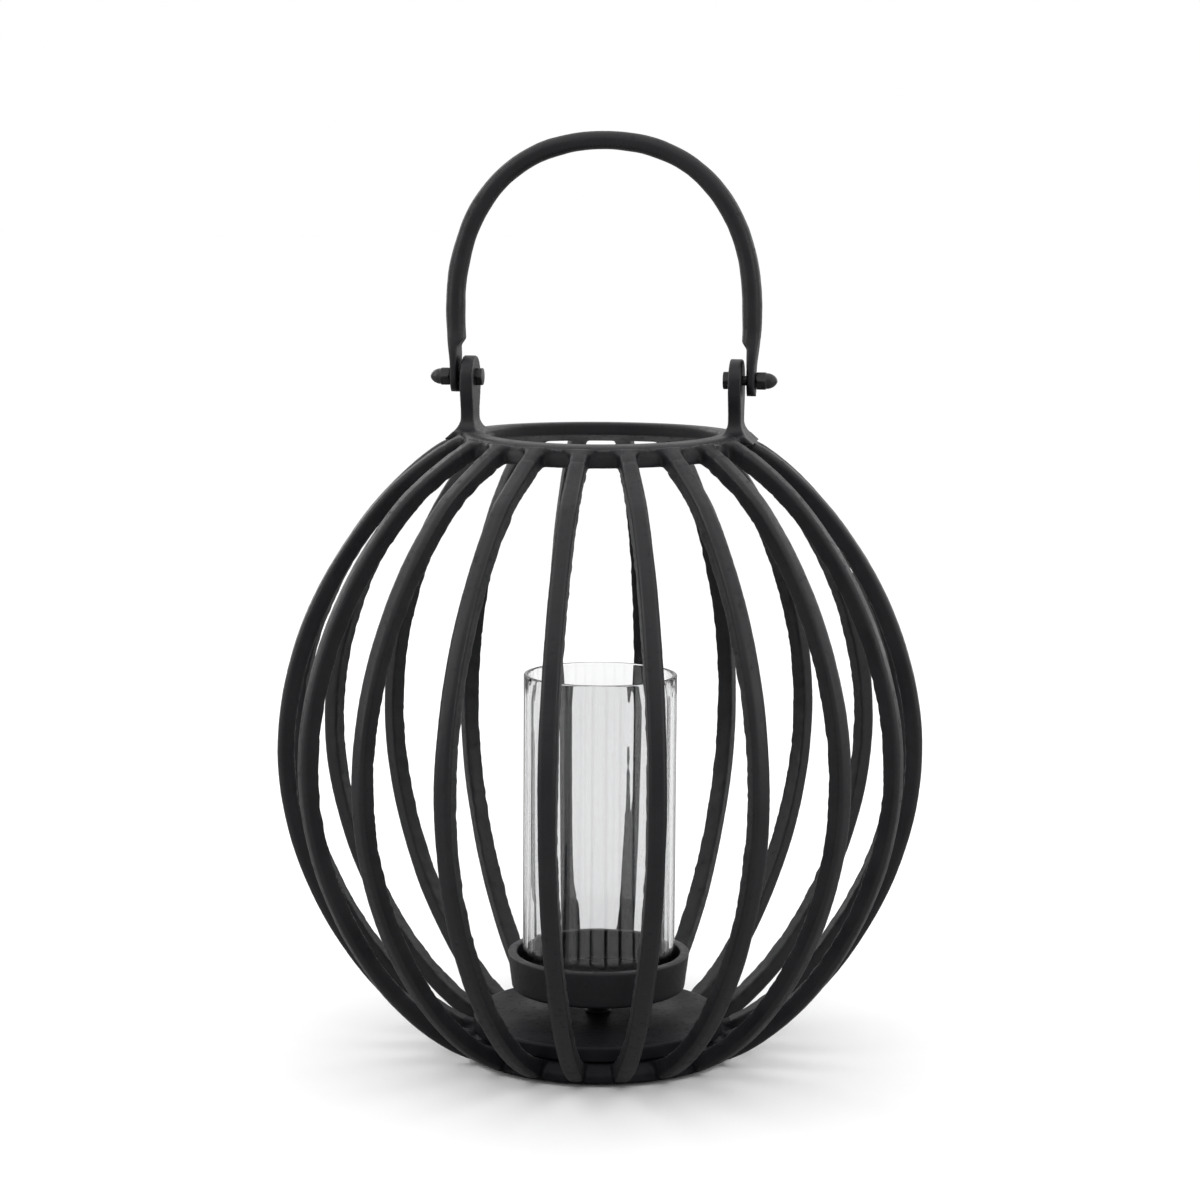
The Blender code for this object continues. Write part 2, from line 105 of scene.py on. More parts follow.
class Wire:
    """A node tree and one of its sockets. Sums on it add Math nodes, and add() makes any node."""

    def __init__(self, tree, socket=None):
        self.tree = tree
        self.socket = socket

    def add(self, kind, settings=None, inputs=None, output=0):
        node = self.tree.nodes.new(kind)
        for name, value in (settings or {}).items():
            setattr(node, name, value)
        for name, value in (inputs or {}).items():
            if isinstance(value, Wire):
                self.tree.links.new(value.socket, node.inputs[name])
            else:
                node.inputs[name].default_value = value
        return Wire(self.tree, node.outputs[output] if len(node.outputs) else None)

    def other(self, output):
        """Another output of the same node."""
        return Wire(self.tree, self.socket.node.outputs[output])

    def maths(self, operation, *values):
        return self.add("ShaderNodeMath", {"operation": operation}, dict(enumerate(values)))

    def __add__(self, value):
        return self.maths("ADD", self, value)

    def __sub__(self, value):
        return self.maths("SUBTRACT", self, value)

    def __rsub__(self, value):
        return self.maths("SUBTRACT", value, self)

    def __mul__(self, value):
        return self.maths("MULTIPLY", self, value)

    def __truediv__(self, value):
        return self.maths("DIVIDE", self, value)

    __radd__ = __add__
    __rmul__ = __mul__

    def clamped(self, low=0.0, high=1.0):
        return self.maths("MINIMUM", self.maths("MAXIMUM", self, low), high)

    def between(self, low, high):
        """0 at low, 1 at high, smooth in between."""
        return self.add(
            "ShaderNodeMapRange",
            {"interpolation_type": "SMOOTHSTEP"},
            {"Value": self, "From Min": low, "From Max": high},
        )

    def blend(self, first, second):
        """The first colour where this is 0 and the second where it is 1."""
        return self.add("ShaderNodeMix", {"data_type": "RGBA"}, {0: self, 6: first, 7: second}, output=2)


def new_material(name):
    """An empty material, its Principled shader, and a Wire for building what feeds it."""
    material = bpy.data.materials.new(name)
    material.use_nodes = True
    tree = material.node_tree
    return material, tree.nodes["Principled BSDF"], Wire(tree)


def feed(wire, shader, name):
    wire.tree.links.new(wire.socket, shader.inputs[name])


floor_material, floor_shader, sheet = new_material("floor_white")
ray = sheet.add("ShaderNodeLightPath", output="Is Camera Ray")
seen = sheet.maths("MAXIMUM", ray, ray.other("Is Transmission Ray"))
feed(seen.blend(FLOOR_BOUNCE, FLOOR_SEEN), floor_shader, "Base Color")
floor_shader.inputs["Roughness"].default_value = FLOOR_ROUGHNESS
floor_shader.inputs["Specular IOR Level"].default_value = 0.0
floor_mesh = bpy.data.meshes.new("studio_floor")
floor_mesh.from_pydata(
    [(x * FLOOR_HALF, y * FLOOR_HALF, 0) for x, y in ((-1, -1), (1, -1), (1, 1), (-1, 1))], [], [(0, 1, 2, 3)]
)
floor_mesh.materials.append(floor_material)
floor = link(bpy.data.objects.new("studio_floor", floor_mesh))

world = bpy.data.worlds.new("white_room")
world.use_nodes = True
world.node_tree.nodes.clear()
room = Wire(world.node_tree)
way = room.add("ShaderNodeSeparateXYZ", None, {"Vector": room.add("ShaderNodeTexCoord", output="Generated")})
walls = ROOM_FRONT + (ROOM_BACK - ROOM_FRONT) * way.other("Y").between(*ROOM_SPAN)
glow = walls + (ROOM_CEILING - walls) * way.other("Z").between(*ROOM_RISE)
walls = room.add("ShaderNodeBackground", None, {"Color": (1, 1, 1, 1), "Strength": glow})
backdrop = room.add("ShaderNodeBackground", None, {"Color": (1, 1, 1, 1), "Strength": 1.0})
ray = room.add("ShaderNodeLightPath", output="Is Camera Ray")
seen = room.maths("MAXIMUM", ray, ray.other("Is Transmission Ray"))
seen = room.add("ShaderNodeMixShader", None, {0: seen, 1: walls, 2: backdrop})
room.add("ShaderNodeOutputWorld", None, {"Surface": seen})
bpy.context.scene.world = world
bpy.context.scene.view_settings.view_transform = "Standard"

skylight = bpy.data.lights.new("skylight", "SUN")
skylight.energy = SKYLIGHT_STRENGTH
skylight.angle = SKYLIGHT_SPREAD
link(bpy.data.objects.new("skylight", skylight))

for name, turn, height, distance, width, tall, power in SOFTBOXES:
    light = bpy.data.lights.new(name, "AREA")
    light.shape = "RECTANGLE"
    light.size = width
    light.size_y = tall
    light.energy = power
    softbox = link(bpy.data.objects.new(name, light))
    angle = math.radians(turn)
    softbox.location = (distance * math.sin(angle), -distance * math.cos(angle), height)
    softbox.rotation_mode = "QUATERNION"
    softbox.rotation_quaternion = (LIGHTS_AIM - softbox.location).to_track_quat("-Z", "Y")


# ---------------------------------------------------------------------------------------------------
# Cage ribs: twenty cast aluminium straps bowed from the foot ring to the top ring. Their outer faces
# are dressed smooth; their inner edges keep the rough, chipped line of the sand mould. All the
# castings are powder coated in satin black. The plate and the foot get a copy of the coat that
# reflects less, which is painted shade: it darkens them for the shade they stand in.
RIB_COUNT = 20
CAGE_RADIUS = 0.155
WIDEST_HEIGHT = 0.150
CAGE_HEIGHT = 0.302
SHOULDER_ANGLE = math.radians(24)
SHOULDER_DROP = 0.0006
SHOULDER_PULL = 0.26
FOOT_ANGLE = math.radians(13)
FOOT_PULL = 0.27
WIDEST_PULL = 0.475
RING_OUTER = 0.0675
RING_HEIGHT = 0.0105
FOOT_RADIUS = 0.060
FOOT_HEIGHT = 0.010
RIB_WIDTH = 0.0082
RIB_DEPTH = 0.0079
RIB_OUTER_EDGE = 0.0019
RIB_INNER_EDGE = 0.0010
RIB_CROWN = 0.0004
RIB_STATIONS = 184
RIB_FROM = 0.018
RIB_TO = 0.977
RIB_END_REACH = 0.016
RIB_END_TAPER = 0.15
FOOT_END_FADE = 2.05
RING_END_FADE = 1.95
END_POWER = 5.0
RIB_CHIPPING = 0.00085
RIB_WAVINESS = 0.0008
RIB_GRAIN = 0.00016
COAT_SHEEN = 0.38
# Weaker reflection of the coat on the plate and the foot: painted shade.
SHADED_SHEEN = 0.14


def coat_of_powder(name, sheen):
    """Satin black powder coat over a sand casting: a fine grain, soft pits and thin, polished edges."""
    material, shader, sheet = new_material(name)
    place = sheet.add("ShaderNodeTexCoord", output="Object")
    clouds = sheet.add("ShaderNodeTexNoise", None, {"Vector": place, "Scale": 38.0, "Detail": 4.0})
    grain = sheet.add("ShaderNodeTexNoise", None, {"Vector": place, "Scale": 900.0, "Detail": 3.0})
    pits = sheet.add(
        "ShaderNodeTexNoise", None, {"Vector": place, "Scale": 330.0, "Detail": 5.0, "Roughness": 0.62}
    )
    hollows = pits.between(0.47, 0.30)
    worn = sheet.add("ShaderNodeAttribute", {"attribute_name": "edge"}, output="Fac")
    tint = clouds.between(0.35, 0.65).blend((0.0060, 0.0060, 0.0082, 1), (0.0098, 0.0096, 0.0120, 1))
    rubbed = worn * grain.between(0.35, 0.6) * 0.55
    feed(rubbed.blend(tint, (0.020, 0.020, 0.022, 1)), shader, "Base Color")
    feed(0.40 + 0.12 * clouds.between(0.3, 0.7) + 0.20 * hollows - 0.12 * worn, shader, "Roughness")
    relief = grain * 0.35 + pits * 0.9
    bump = sheet.add("ShaderNodeBump", None, {"Height": relief, "Strength": 0.30, "Distance": 0.0004})
    feed(bump, shader, "Normal")
    shader.inputs["Specular IOR Level"].default_value = sheen
    return material


def rib_line():
    """The outer line of one rib in the plane of X and Z, as two Bezier stretches."""
    foot = Vector((FOOT_RADIUS, 0, 0))
    widest = Vector((CAGE_RADIUS, 0, WIDEST_HEIGHT))
    shoulder = Vector((RING_OUTER, 0, CAGE_HEIGHT - SHOULDER_DROP))
    foot_pull = FOOT_PULL * CAGE_RADIUS * Vector((math.cos(FOOT_ANGLE), 0, math.sin(FOOT_ANGLE)))
    shoulder_heading = Vector((math.cos(SHOULDER_ANGLE), 0, -math.sin(SHOULDER_ANGLE)))
    shoulder_pull = SHOULDER_PULL * CAGE_RADIUS * shoulder_heading
    curve = bpy.data.curves.new("rib_line", "CURVE")
    curve.dimensions = "3D"
    curve.resolution_u = 64
    spline = curve.splines.new("BEZIER")
    spline.bezier_points.add(2)
    handles = (
        (foot, foot - foot_pull, foot + foot_pull),
        (
            widest,
            widest - Vector((0, 0, WIDEST_PULL * WIDEST_HEIGHT)),
            widest + Vector((0, 0, WIDEST_PULL * (CAGE_HEIGHT - WIDEST_HEIGHT))),
        ),
        (shoulder, shoulder + shoulder_pull, shoulder - shoulder_pull),
    )
    for point, (place, before, after) in zip(spline.bezier_points, handles):
        point.handle_left_type = point.handle_right_type = "FREE"
        point.co, point.handle_left, point.handle_right = place, before, after
    return link(bpy.data.objects.new("rib_line", curve))


def new_tree(name, inputs):
    """A Geometry Nodes tree with named inputs, and a Wire for each of them."""
    tree = bpy.data.node_groups.new(name, "GeometryNodeTree")
    tree.interface.new_socket("Geometry", in_out="OUTPUT", socket_type="NodeSocketGeometry")
    tree.interface.new_socket("Geometry", in_out="INPUT", socket_type="NodeSocketGeometry")
    for label, (kind, _) in inputs.items():
        tree.interface.new_socket(label, in_out="INPUT", socket_type="NodeSocket" + kind)
    start = Wire(tree).add("NodeGroupInput")
    return tree, {label: start.other(label) for label in ("Geometry", *inputs)}


def end_tree(result):
    """Realizes what the tree made and sends it out."""
    realized = result.add("GeometryNodeRealizeInstances", None, {"Geometry": result})
    result.add("NodeGroupOutput", None, {"Geometry": realized})


def grown(name, source, tree, inputs, changes):
    """Runs a tree on a source object, with some inputs changed, and returns a plain mesh object."""
    modifier = source.modifiers.new("grow", "NODES")
    modifier.node_group = tree
    sizes = {label: value for label, (_, value) in inputs.items()}
    sizes.update(changes)
    for item in tree.interface.items_tree:
        if item.in_out == "INPUT" and item.name in sizes:
            modifier[item.identifier] = sizes[item.name]
    graph = bpy.context.evaluated_depsgraph_get()
    mesh = bpy.data.meshes.new_from_object(source.evaluated_get(graph))
    source.modifiers.remove(modifier)
    mesh.name = name
    face_outwards(mesh)
    return link(bpy.data.objects.new(name, mesh))


def face_outwards(mesh):
    """Turns every face outwards and shades the mesh smooth."""
    shape = bmesh.new()
    shape.from_mesh(mesh)
    bmesh.ops.recalc_face_normals(shape, faces=shape.faces)
    shape.to_mesh(mesh)
    shape.free()
    mesh.shade_smooth()


def moved(wire, place, by):
    return wire.add("ShaderNodeVectorMath", {"operation": "ADD"}, {0: place, 1: by})


def scaled(wire, direction, amount):
    return wire.add("ShaderNodeVectorMath", {"operation": "SCALE"}, {0: direction, "Scale": amount})


def joined_up(wire, x, y, z):
    return wire.add("ShaderNodeCombineXYZ", None, {"X": x, "Y": y, "Z": z})


def named(wire, name, kind="FLOAT"):
    return wire.add("GeometryNodeInputNamedAttribute", {"data_type": kind}, {"Name": name})


def store(geometry, name, value, kind="FLOAT"):
    return geometry.add(
        "GeometryNodeStoreNamedAttribute",
        {"data_type": kind, "domain": "POINT"},
        {"Geometry": geometry, "Name": name, "Value": value},
    )


def noise(wire, place, scale, detail):
    """Noise with a mean of zero, between about -1 and 1."""
    made = wire.add("ShaderNodeTexNoise", None, {"Vector": place, "Scale": scale, "Detail": detail})
    return (made - 0.5) * 2.0


RIB_INPUTS = {
    "Rib count": ("Int", RIB_COUNT),
    "Stations": ("Int", RIB_STATIONS),
    "From share": ("Float", 0.0),
    "To share": ("Float", 1.0),
    "Width": ("Float", RIB_WIDTH),
    "Depth": ("Float", RIB_DEPTH),
    "Foot depth": ("Float", FOOT_HEIGHT * math.cos(FOOT_ANGLE)),
    "Ring depth": ("Float", (RING_HEIGHT - SHOULDER_DROP) * math.cos(SHOULDER_ANGLE)),
    "Outer edge": ("Float", RIB_OUTER_EDGE),
    "Inner edge": ("Float", RIB_INNER_EDGE),
    "Crown": ("Float", RIB_CROWN),
    "Web radius": ("Float", 0.0),
    "Web full": ("Float", 0.0),
    "Web draft": ("Float", 0.0),
    "End reach": ("Float", 0.0),
    "End taper": ("Float", 0.0),
    "Chipping": ("Float", RIB_CHIPPING),
    "Waviness": ("Float", RIB_WAVINESS),
    "Grain": ("Float", RIB_GRAIN),
    "Finish": ("Material", None),
}
ribs_tree, rib = new_tree("ribs round the cage", RIB_INPUTS)
line = rib["Geometry"]
whole = line.add("GeometryNodeSplineParameter", output="Length")
total = line.add("GeometryNodeSplineLength", output="Length")
marked = store(line, "left_below", whole)
marked = store(marked, "left_above", total - whole)
trimmed = line.add(
    "GeometryNodeTrimCurve", {"mode": "FACTOR"}, {0: marked, 2: rib["From share"], 3: rib["To share"]}
)
stations = line.add("GeometryNodeResampleCurve", None, {"Curve": trimmed, "Count": rib["Stations"]})
stations = store(stations, "spine", line.add("GeometryNodeInputPosition"), "FLOAT_VECTOR")
stations = store(stations, "heading", line.add("GeometryNodeInputTangent"), "FLOAT_VECTOR")

section = line.add(
    "GeometryNodeCurvePrimitiveQuadrilateral", None, {"Width": rib["Depth"], "Height": rib["Width"]}
)
section = line.add("GeometryNodeSubdivideCurve", None, {"Curve": section, "Cuts": 2})
corner_number = line.add("GeometryNodeInputIndex")
is_corner = line.maths("COMPARE", line.maths("MODULO", corner_number, 3.0), 0.0, 0.1)
is_outer = line.maths("COMPARE", corner_number, 4.5, 2.0)
edge_radius = is_corner * (rib["Inner edge"] + is_outer * (rib["Outer edge"] - rib["Inner edge"]))
section = line.add(
    "GeometryNodeFilletCurve", {"mode": "POLY"}, {"Curve": section, "Count": 3, "Radius": edge_radius}
)
section = store(section, "section", line.add("GeometryNodeInputPosition"), "FLOAT_VECTOR")

swept = line.add(
    "GeometryNodeCurveToMesh", None, {"Curve": stations, "Profile Curve": section, "Fill Caps": True}
)
heading = line.add("ShaderNodeSeparateXYZ", None, {"Vector": named(line, "heading", "FLOAT_VECTOR")})
local = line.add("ShaderNodeSeparateXYZ", None, {"Vector": named(line, "section", "FLOAT_VECTOR")})
below = named(line, "left_below")
above = named(line, "left_above")
inward = joined_up(line, 0.0 - heading.other("Z"), 0.0, heading)
spread = line.maths("DIVIDE", local.other("Y"), rib["Width"] * 0.5)
deep = local / rib["Depth"] + 0.5
foot_share = 1.0 - (below / (below + above) * FOOT_END_FADE).clamped()
ring_share = 1.0 - (above / (below + above) * RING_END_FADE).clamped()
depth = (
    rib["Depth"]
    + (rib["Foot depth"] - rib["Depth"]) * line.maths("POWER", foot_share, END_POWER)
    + (rib["Ring depth"] - rib["Depth"]) * line.maths("POWER", ring_share, END_POWER)
)
nearer = line.maths("MINIMUM", above, below)
web_gap = (rib["Web radius"] - nearer).clamped(0.0, 1.0)
web = rib["Web radius"] - line.maths("SQRT", rib["Web radius"] * rib["Web radius"] - web_gap * web_gap)
sunk = (nearer - rib["Web full"]).clamped(0.0, 1.0) * rib["Web draft"]
sunk = sunk + (rib["End reach"] - nearer).clamped(0.0, 1.0) * rib["End taper"]
half_width = rib["Width"] * 0.5 + web - sunk
crown_drop = rib["Crown"] * spread * spread * (1.0 - deep)
place = moved(
    line,
    named(line, "spine", "FLOAT_VECTOR"),
    scaled(line, inward, deep * (depth - sunk * 2.0) + crown_drop + sunk),
)
place = moved(line, place, joined_up(line, 0.0, spread * half_width, 0.0))
shaped = line.add("GeometryNodeSetPosition", None, {"Geometry": swept, "Position": place})
rim = line.maths("ABSOLUTE", spread).between(0.72, 0.95)
shaped = store(shaped, "edge", rim * (1.0 - deep.between(0.02, 0.3)))
shaped = store(shaped, "inner", deep.between(0.62, 0.95))

seats = line.add("GeometryNodePoints", None, {"Count": rib["Rib count"]})
turned = line.add("GeometryNodeInputIndex") / rib["Rib count"] * math.tau
cage = line.add(
    "GeometryNodeInstanceOnPoints",
    None,
    {"Points": seats, "Instance": shaped, "Rotation": joined_up(line, 0.0, 0.0, turned)},
)
cage = line.add("GeometryNodeRealizeInstances", None, {"Geometry": cage})
here = line.add("GeometryNodeInputPosition")
chips = noise(line, here, 210.0, 3.0) * rib["Chipping"] * named(line, "inner")
wave = noise(line, here, 26.0, 1.0) * rib["Waviness"] * 0.5
grain = noise(line, here, 620.0, 2.0) * rib["Grain"]
rough = scaled(line, line.add("GeometryNodeInputNormal"), chips + wave + grain)
cage = line.add("GeometryNodeSetPosition", None, {"Geometry": cage, "Offset": rough})
for label in ("left_below", "left_above", "spine", "heading", "section"):
    cage = line.add("GeometryNodeRemoveAttribute", None, {"Geometry": cage, "Name": label})
cage = line.add("GeometryNodeSetMaterial", None, {"Geometry": cage, "Material": rib["Finish"]})
end_tree(cage)

black_powder_coat = coat_of_powder("black_powder_coat", COAT_SHEEN)
# A darker copy of the coat for the plate and the foot: painted shade.
shaded_powder_coat = coat_of_powder("shaded_powder_coat", SHADED_SHEEN)
outer_line = rib_line()
cage_ribs = grown(
    "cage_ribs",
    outer_line,
    ribs_tree,
    RIB_INPUTS,
    {
        "From share": RIB_FROM,
        "To share": RIB_TO,
        "End reach": RIB_END_REACH,
        "End taper": RIB_END_TAPER,
        "Finish": black_powder_coat,
    },
)
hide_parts(*[f"rib_{number + 1:02d}" for number in range(RIB_COUNT)])
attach(cage_ribs, "cage")


# ---------------------------------------------------------------------------------------------------
# Top casting: the ring that the ribs run into, with an upright lug on each side for the handle. One
# casting with soft corners, filleted between the ribs and at the foot of each lug. Its underside
# rises towards the bore, and the front of the mouth dips a little, with the ribs' ends.
RING_BORE = 0.0555
RING_SHOULDER = 0.0052
RING_INNER_SHOULDER = 0.0012
RING_BORE_RISE = 0.0047
RING_SAG = 0.0023
SAG_DEPTH = 1.5
SAG_MIDDLE = 0.3
RING_EDGE = 0.0012
RING_DRAFT = 0.0008
RING_STEPS = 160
WEB_REACH = 0.062
WEB_RADIUS = 0.0070
WEB_FULL = 0.010
WEB_DRAFT = 0.055
CASTING_VOXEL = 0.00068
CASTING_SMOOTHING = 3
LUG_THICKNESS = 0.0062
LUG_HALF_WIDTH = 0.0084
LUG_FLARE = 0.0062
LUG_SWELL = 0.0150
LUG_SPREAD = 0.0026
LUG_ROOT = 0.004
LUG_NECK = math.radians(80)
LUG_STEPS = 8
EYE_STEPS = 16


def spun(name, outline, steps, longest=0.0020):
    """A closed outline of (radius, height) turned round the Z axis, in stretches no longer than longest."""
    corners = list(outline)
    outline = []
    for k, corner in enumerate(corners):
        here, after = Vector(corner), Vector(corners[(k + 1) % len(corners)])
        parts = max(1, math.ceil((after - here).length / longest))
        outline += [tuple(here.lerp(after, part / parts)) for part in range(parts)]
    mesh = bpy.data.meshes.new(name)
    points, faces = [], []
    count = len(outline)
    for step in range(steps):
        angle = math.tau * step / steps
        points += [(radius * math.cos(angle), radius * math.sin(angle), height) for radius, height in outline]
    for step in range(steps):
        for k in range(count):
            a, b = step * count, (step + 1) % steps * count
            faces.append((a + k, b + k, b + (k + 1) % count, a + (k + 1) % count))
    mesh.from_pydata(points, [], faces)
    shape = bmesh.new()
    shape.from_mesh(mesh)
    bmesh.ops.remove_doubles(shape, verts=shape.verts, dist=1e-6)
    bmesh.ops.recalc_face_normals(shape, faces=shape.faces)
    shape.to_mesh(mesh)
    shape.free()
    mesh.shade_smooth()
    return link(bpy.data.objects.new(name, mesh))


def softened(corners, steps=5):
    """A closed outline through corners of (x, y, radius), each rounded to its radius."""
    outline = []
    for k, (x, y, radius) in enumerate(corners):
        here = Vector((x, y))
        before = (Vector(corners[k - 1][:2]) - here).normalized()
        after = (Vector(corners[(k + 1) % len(corners)][:2]) - here).normalized()
        half = before.angle(after) / 2
        if radius <= 0 or abs(half - math.pi / 2) < 1e-3:
            outline.append((x, y))
            continue
        reach = radius / math.tan(half)
        centre = here + (before + after).normalized() * radius / math.sin(half)
        first = here + before * reach - centre
        last = here + after * reach - centre
        sweep = first.angle_signed(last)
        for step in range(steps + 1):
            turn = Matrix.Rotation(-sweep * step / steps, 2)
            outline.append(tuple(centre + turn @ first))
    return outline


def cast_together(name, parts, voxel, smoothing, finish):
    """Melts the parts into one soft-cornered casting, as the sand mould leaves it."""
    shape = bmesh.new()
    for part in parts:
        shape.from_mesh(part.data)
        bpy.data.objects.remove(part)
    mesh = bpy.data.meshes.new(name)
    shape.to_mesh(mesh)
    shape.free()
    raw = link(bpy.data.objects.new(name + "_raw", mesh))
    remesh = raw.modifiers.new("melt", "REMESH")
    remesh.mode = "VOXEL"
    remesh.voxel_size = voxel
    remesh.use_smooth_shade = True
    smooth = raw.modifiers.new("soften", "SMOOTH")
    smooth.factor = 0.5
    smooth.iterations = smoothing
    graph = bpy.context.evaluated_depsgraph_get()
    melted = bpy.data.meshes.new_from_object(raw.evaluated_get(graph))
    bpy.data.objects.remove(raw)
    melted.name = name
    melted.materials.append(finish)
    melted.shade_smooth()
    return link(bpy.data.objects.new(name, melted))


ring_top = CAGE_HEIGHT
ring_bottom = CAGE_HEIGHT - RING_HEIGHT
ring = spun(
    "ring",
    softened(
        (
            (RING_BORE, ring_bottom + RING_BORE_RISE, RING_EDGE),
            (RING_OUTER + RING_DRAFT, ring_bottom, RING_EDGE),
            (RING_OUTER, ring_top, RING_SHOULDER),
            (RING_BORE, ring_top, RING_INNER_SHOULDER),
        )
    ),
    RING_STEPS,
)
webs = grown(
    "webs",
    outer_line,
    ribs_tree,
    RIB_INPUTS,
    {
        "Stations": 40,
        "From share": 1.0 - WEB_REACH,
        "Web radius": WEB_RADIUS,
        "Web full": WEB_FULL,
        "Web draft": WEB_DRAFT,
        "Chipping": 0.0,
        "Grain": 0.0,
    },
)


def eased(value, low, high):
    """0 at low, 1 at high, smooth in between."""
    share = min(1.0, max(0.0, (value - low) / (high - low)))
    return share * share * (3 - 2 * share)


def flared_lug(name):
    """A copy of a CAD lug with its bolt hole closed and its foot spread into the ring."""
    low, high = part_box(name)
    side = 1 if low.x > 0 else -1
    half = (high.y - low.y) / 2
    axis_height = high.z - half
    middle = (low.x + high.x) / 2
    outline = []
    for k in range(LUG_STEPS + 1):
        angle = math.pi / 2 * k / LUG_STEPS
        outline.append(
            (LUG_HALF_WIDTH + LUG_FLARE * (1 - math.sin(angle)), ring_top + LUG_FLARE * (1 - math.cos(angle)))
        )
    lowest, highest = ring_top + LUG_FLARE, axis_height - half * math.cos(LUG_NECK)
    for k in range(1, LUG_STEPS + 1):
        height = lowest + (highest - lowest) * k / (LUG_STEPS + 1)
        swell = eased(height, highest - LUG_SWELL, highest)
        outline.append((LUG_HALF_WIDTH + (half * math.sin(LUG_NECK) - LUG_HALF_WIDTH) * swell, height))
    for k in range(EYE_STEPS + 1):
        angle = LUG_NECK + (math.pi - LUG_NECK) * k / EYE_STEPS
        outline.append((half * math.sin(angle), axis_height - half * math.cos(angle)))
    outline = [(outline[0][0], ring_top - LUG_ROOT)] + outline
    mesh = bpy.data.meshes.new(name)
    points, faces = [], []
    for across, height in outline:
        foot = max(0.0, 1 - (height - ring_top) / LUG_FLARE)
        thick = LUG_THICKNESS / 2 + LUG_SPREAD * foot * foot
        for x, y in ((-thick, -across), (thick, -across), (thick, across), (-thick, across)):
            points.append((middle + x, y, height))
    count = len(outline)
    for k in range(count - 1):
        for j in range(4):
            faces.append((4 * k + j, 4 * k + (j + 1) % 4, 4 * k + 4 + (j + 1) % 4, 4 * k + 4 + j))
    faces.append((0, 1, 2, 3))
    faces.append(tuple(4 * count - 4 + j for j in range(4)))
    mesh.from_pydata(points, [], faces)
    face_outwards(mesh)
    return link(bpy.data.objects.new(name + "_flared", mesh))


top_casting = cast_together(
    "top_casting",
    (ring, webs, flared_lug("lug_right"), flared_lug("lug_left")),
    CASTING_VOXEL,
    CASTING_SMOOTHING,
    black_powder_coat,
)
for piece in (cage_ribs, top_casting):
    for point in piece.data.vertices:
        raised = (point.co.z - ring_bottom) / RING_HEIGHT + SAG_DEPTH
        forward = SAG_MIDDLE - (1 - SAG_MIDDLE) * point.co.y / RING_OUTER
        point.co.z -= RING_SAG * min(1.0, max(0.0, raised / SAG_DEPTH)) * max(0.0, forward) ** 2
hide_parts("top_ring", "lug_right", "lug_left")
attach(top_casting, "cage")


# ---------------------------------------------------------------------------------------------------
# Foot casting: the ring that the ribs stand on, filleted between them like the top ring, with a
# skirt that follows the ribs out, and flat underneath.
FOOT_BORE = 0.047
FOOT_SKIRT = 0.0072
FOOT_EDGE = 0.0008
FOOT_WEB_REACH = 0.052
FOOT_WEB_RADIUS = 0.0060
FOOT_SMOOTHING = 8
foot = spun(
    "foot",
    softened(
        (
            (FOOT_BORE, 0.0, FOOT_EDGE),
            (FOOT_RADIUS, 0.0, 0.0),
            (FOOT_RADIUS + FOOT_SKIRT, FOOT_SKIRT * math.tan(FOOT_ANGLE), FOOT_EDGE / 2),
            (FOOT_RADIUS + FOOT_SKIRT * 0.85, FOOT_HEIGHT * 0.55, FOOT_HEIGHT / 3),
            (FOOT_RADIUS - FOOT_EDGE, FOOT_HEIGHT, FOOT_EDGE),
            (FOOT_BORE, FOOT_HEIGHT, FOOT_EDGE),
        )
    ),
    RING_STEPS,
)
foot_webs = grown(
    "foot_webs",
    outer_line,
    ribs_tree,
    RIB_INPUTS,
    {
        "Stations": 40,
        "To share": FOOT_WEB_REACH,
        "Web radius": FOOT_WEB_RADIUS,
        "Web full": WEB_FULL,
        "Web draft": WEB_DRAFT,
        "Chipping": 0.0,
        "Grain": 0.0,
    },
)
# The foot takes the darker copy of the coat, which is painted shade.
foot_casting = cast_together(
    "foot_casting", (foot, foot_webs), CASTING_VOXEL, FOOT_SMOOTHING, shaded_powder_coat
)
for point in foot_casting.data.vertices:
    point.co.z = max(point.co.z, 0.0)
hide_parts("foot_ring")
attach(foot_casting, "cage")


# ---------------------------------------------------------------------------------------------------
# Base plate: a round cast plate laid on the foot ring and dressed on top, very slightly crowned, with
# a soft rim. It carries the cup on a screw through its middle.
PLATE_BORE = 0.0028
BORE_EDGE = 0.0003
PLATE_RADIUS = 0.061
PLATE_BOTTOM = 0.0103
PLATE_TOP = 0.0182
PLATE_RIM = 0.0016
PLATE_FALL = 0.0007
SKIN_INPUTS = {
    "Waviness": ("Float", 0.0003),
    "Wave scale": ("Float", 60.0),
    "Grain": ("Float", 0.00008),
    "Grain scale": ("Float", 500.0),
    "Finish": ("Material", None),
}

skin_tree, skin = new_tree("sand cast skin", SKIN_INPUTS)
surface = skin["Geometry"]
here = surface.add("GeometryNodeInputPosition")
wave = surface.add("ShaderNodeTexNoise", None, {"Vector": here, "Scale": skin["Wave scale"], "Detail": 1.0})
grain = surface.add("ShaderNodeTexNoise", None, {"Vector": here, "Scale": skin["Grain scale"], "Detail": 2.0})
relief = (wave - 0.5) * skin["Waviness"] * 2.0 + (grain - 0.5) * skin["Grain"] * 2.0
rough = scaled(surface, surface.add("GeometryNodeInputNormal"), relief)
cast = surface.add("GeometryNodeSetPosition", None, {"Geometry": surface, "Offset": rough})
cast = surface.add("GeometryNodeSetMaterial", None, {"Geometry": cast, "Material": skin["Finish"]})
end_tree(cast)


